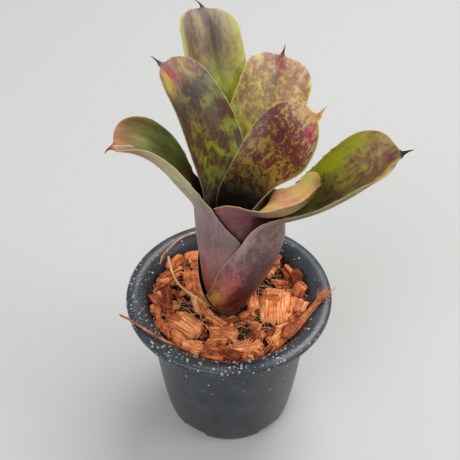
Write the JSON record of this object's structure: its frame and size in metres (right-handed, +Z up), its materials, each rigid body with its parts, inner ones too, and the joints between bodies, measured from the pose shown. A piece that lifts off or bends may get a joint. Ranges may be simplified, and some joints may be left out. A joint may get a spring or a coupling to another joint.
{
  "type": "potted bromeliad",
  "caption": "Tank rosette of broad mottled leaves with spined tips, growing in a flanged round nursery pot of coconut-husk chips.",
  "frame": {"origin": "centre of the pot's underside, on the surface that it stands on", "axes": "+Z up along the pot's axis; -Y is the front, towards which the smallest leaf folds; +X is to the right seen from the front"},
  "size_m": [0.1012, 0.11, 0.1783],
  "materials": {
    "pot_plastic": "moulded satin",
    "dark_coir": "damp packed husk",
    "coconut_husk": "rough fibrous",
    "loose_fibre": "dry fibre",
    "stem_flesh": "matte",
    "leaf_mottled": "waxy leaf, satin"
  },
  "bodies": {
    "root": {"chip_back": "coconut_husk", "chip_back_left": "coconut_husk", "chip_back_middle": "coconut_husk", "chip_back_right": "coconut_husk", "chip_front": "coconut_husk", "chip_front_left": "coconut_husk", "chip_front_low": "coconut_husk", "chip_front_middle": "coconut_husk", "chip_front_right": "coconut_husk", "chip_front_slant": "coconut_husk", "chip_left_streak": "coconut_husk", "chip_left_upright": "coconut_husk", "chip_right_edge": "coconut_husk", "chip_right_large": "coconut_husk", "chip_stub_left": "coconut_husk", "coir_bed": "dark_coir", "fibre_arch_back": "loose_fibre", "fibre_bundle_right": "loose_fibre", "fibre_strip_left": "loose_fibre", "fibre_strip_pale": "loose_fibre", "leaf_back_left": "leaf_mottled", "leaf_back_right": "leaf_mottled", "leaf_centre_left": "leaf_mottled", "leaf_centre_right": "leaf_mottled", "leaf_front": "leaf_mottled", "leaf_left": "leaf_mottled", "leaf_right": "leaf_mottled", "pot": "pot_plastic", "stem": "stem_flesh"}
  },
  "joints": []
}
